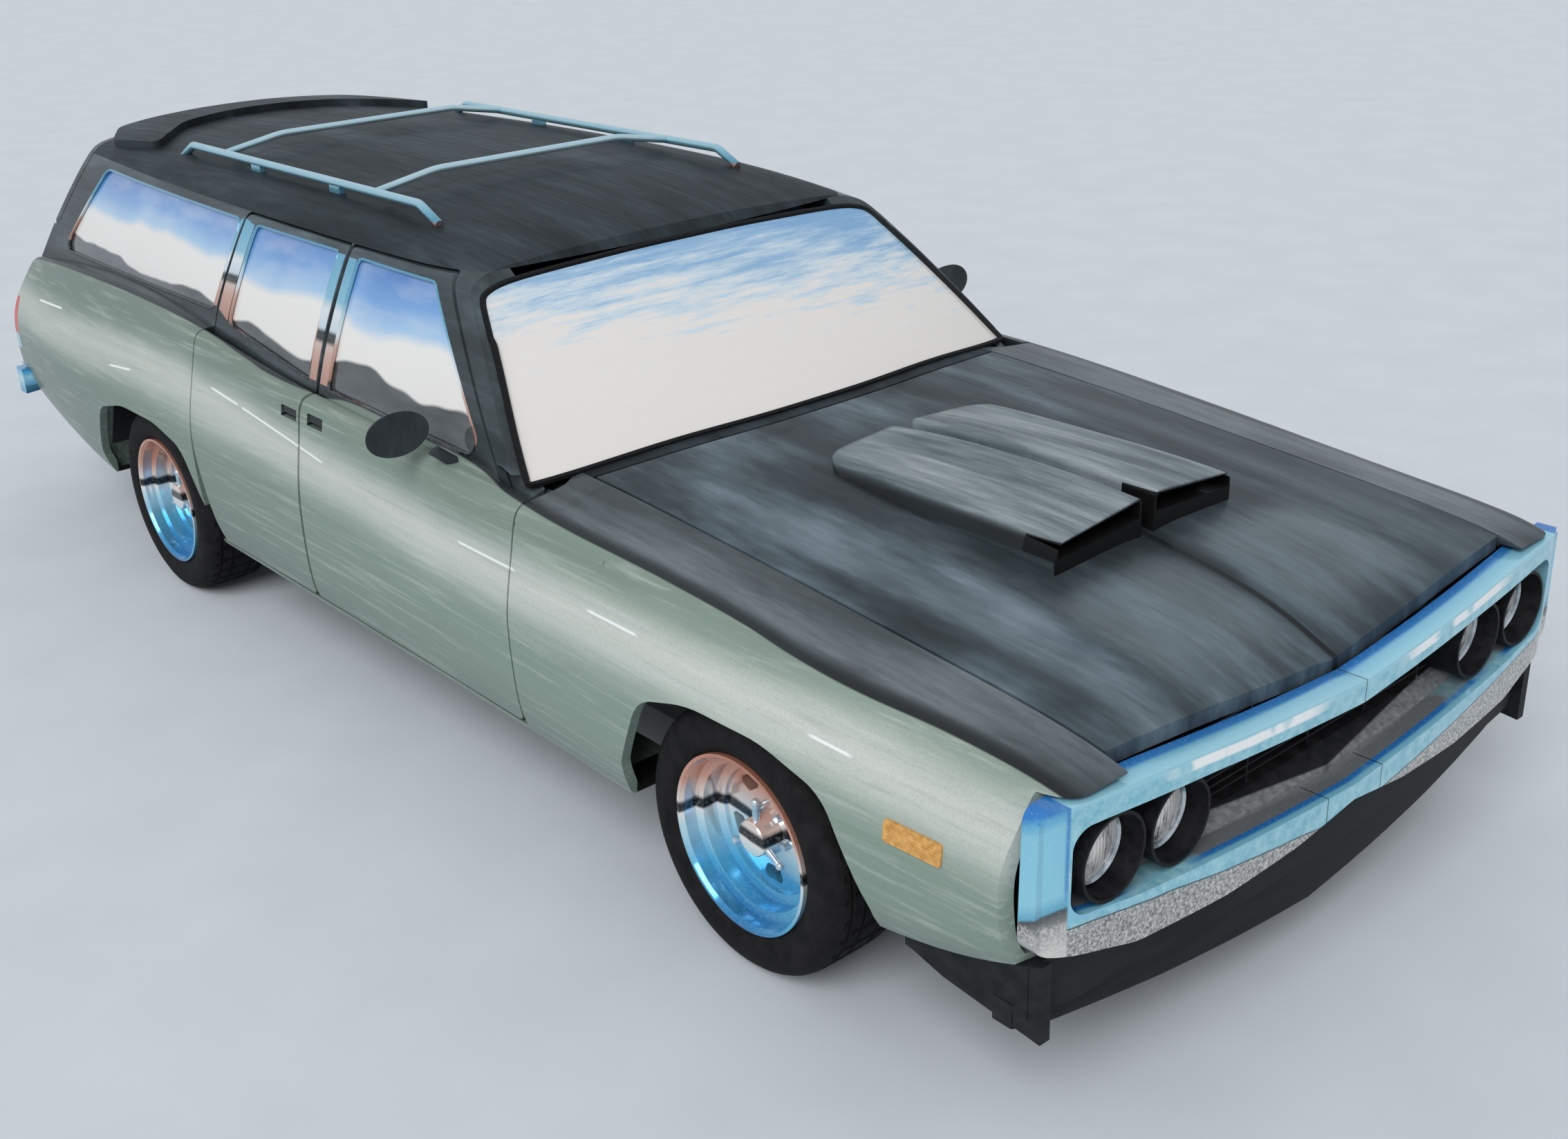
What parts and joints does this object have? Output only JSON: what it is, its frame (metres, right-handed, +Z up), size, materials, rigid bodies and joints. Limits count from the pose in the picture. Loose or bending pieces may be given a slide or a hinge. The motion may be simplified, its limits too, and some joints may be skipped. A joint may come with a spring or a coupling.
{
  "type": "station wagon",
  "caption": "Early seventies full-size station wagon with opening doors, hood, side-swinging tailgate, roof rack and mag wheels.",
  "frame": {"origin": "on the floor, under the middle of the wagon's length and width", "axes": "+X to the front, +Y to the wagon's left, +Z up"},
  "size_m": [5.31, 2.1592, 1.4649],
  "materials": {
    "paint_green": "gloss",
    "paint_charcoal": "gloss",
    "chrome": "polished",
    "glass": "gloss",
    "black_plastic": "satin",
    "lens_clear": "gloss",
    "lens_colour": "gloss",
    "rubber": "matte",
    "alloy": "polished",
    "vinyl": "satin",
    "chassis_black": "satin",
    "cast_iron": "matte"
  },
  "bodies": {
    "body": {"body_sides": "paint_green", "fixed_glass": "glass", "roof_panel": "paint_charcoal", "front_fenders": "paint_green", "cowl_and_firewall": "paint_charcoal", "floor_pan": "chassis_black", "front_loop_bumper": "chrome", "grille": "black_plastic", "headlamps": "lens_clear", "front_valance": "paint_charcoal", "signal_lamps": "lens_colour", "rear_bumper": "chrome", "roof_rack": "chrome", "bench_seats": "vinyl", "dashboard": "vinyl", "chassis_frame": "chassis_black", "front_suspension": "chassis_black", "rear_axle": "cast_iron", "engine_block": "cast_iron", "fuel_tank": "chassis_black", "exhaust": "chassis_black"},
    "hood": {"hood": "paint_charcoal"},
    "door_front_right": {"front_door_right": "paint_green", "front_door_glass_right": "glass", "mirror_right": "paint_charcoal"},
    "door_front_left": {"front_door_left": "paint_green", "front_door_glass_left": "glass", "mirror_left": "paint_charcoal"},
    "door_rear_right": {"rear_door_right": "paint_green", "rear_door_glass_right": "glass"},
    "door_rear_left": {"rear_door_left": "paint_green", "rear_door_glass_left": "glass"},
    "tailgate": {"tailgate": "paint_green", "tailgate_glass": "glass"},
    "steering_wheel": {"steering_wheel": "black_plastic"},
    "knuckle_right": {"knuckle_right": "cast_iron"},
    "knuckle_left": {"knuckle_left": "cast_iron"},
    "wheel_front_right": {"rim_front_right": "alloy", "tyre_front_right": "rubber"},
    "wheel_front_left": {"rim_front_left": "alloy", "tyre_front_left": "rubber"},
    "wheel_rear_right": {"rim_rear_right": "alloy", "tyre_rear_right": "rubber"},
    "wheel_rear_left": {"rim_rear_left": "alloy", "tyre_rear_left": "rubber"}
  },
  "joints": [
    {"name": "hood_hinge", "type": "hinge", "parent": "body", "child": "hood", "pos_m": [0.96, 0, 0.952], "axis": [0, -1, 0], "range_deg": [0, 50]},
    {"name": "front_door_right_hinge", "type": "hinge", "parent": "body", "child": "door_front_right", "pos_m": [0.955, -0.957, 0.6], "axis": [0, 0, 1], "range_deg": [0, 65]},
    {"name": "front_door_left_hinge", "type": "hinge", "parent": "body", "child": "door_front_left", "pos_m": [0.955, 0.957, 0.6], "axis": [0, 0, -1], "range_deg": [0, 65]},
    {"name": "rear_door_right_hinge", "type": "hinge", "parent": "body", "child": "door_rear_right", "pos_m": [-0.883, -0.972, 0.6], "axis": [0, 0, -1], "range_deg": [0, 65]},
    {"name": "rear_door_left_hinge", "type": "hinge", "parent": "body", "child": "door_rear_left", "pos_m": [-0.883, 0.972, 0.6], "axis": [0, 0, 1], "range_deg": [0, 65]},
    {"name": "tailgate_hinge", "type": "hinge", "parent": "body", "child": "tailgate", "pos_m": [-2.604, 0.748, 0.7], "axis": [0, 0, -1], "range_deg": [0, 80]},
    {"name": "steering_wheel_turn", "type": "hinge", "parent": "body", "child": "steering_wheel", "pos_m": [0.34, 0.365, 0.806], "axis": [-0.9769, 0, 0.2138], "range_deg": [-480, 480]},
    {"name": "knuckle_left_steer", "type": "hinge", "parent": "body", "child": "knuckle_left", "pos_m": [1.74, 0.765, 0.32], "axis": [0, 0, 1], "range_deg": [-30, 30]},
    {"name": "knuckle_right_steer", "type": "hinge", "parent": "body", "child": "knuckle_right", "pos_m": [1.74, -0.765, 0.32], "axis": [0, 0, 1], "range_deg": [-30, 30]},
    {"name": "wheel_front_right_spin", "type": "hinge", "parent": "knuckle_right", "child": "wheel_front_right", "pos_m": [1.74, -0.827, 0.32], "axis": [0, 1, 0], "continuous": true},
    {"name": "wheel_front_left_spin", "type": "hinge", "parent": "knuckle_left", "child": "wheel_front_left", "pos_m": [1.74, 0.827, 0.32], "axis": [0, 1, 0], "continuous": true},
    {"name": "wheel_rear_right_spin", "type": "hinge", "parent": "body", "child": "wheel_rear_right", "pos_m": [-1.257, -0.83, 0.32], "axis": [0, 1, 0], "continuous": true},
    {"name": "wheel_rear_left_spin", "type": "hinge", "parent": "body", "child": "wheel_rear_left", "pos_m": [-1.257, 0.83, 0.32], "axis": [0, 1, 0], "continuous": true}
  ],
  "couplings": [
    {"joint": "knuckle_left_steer", "follows": "steering_wheel_turn", "ratio": 0.0625},
    {"joint": "knuckle_right_steer", "follows": "steering_wheel_turn", "ratio": 0.0625}
  ]
}
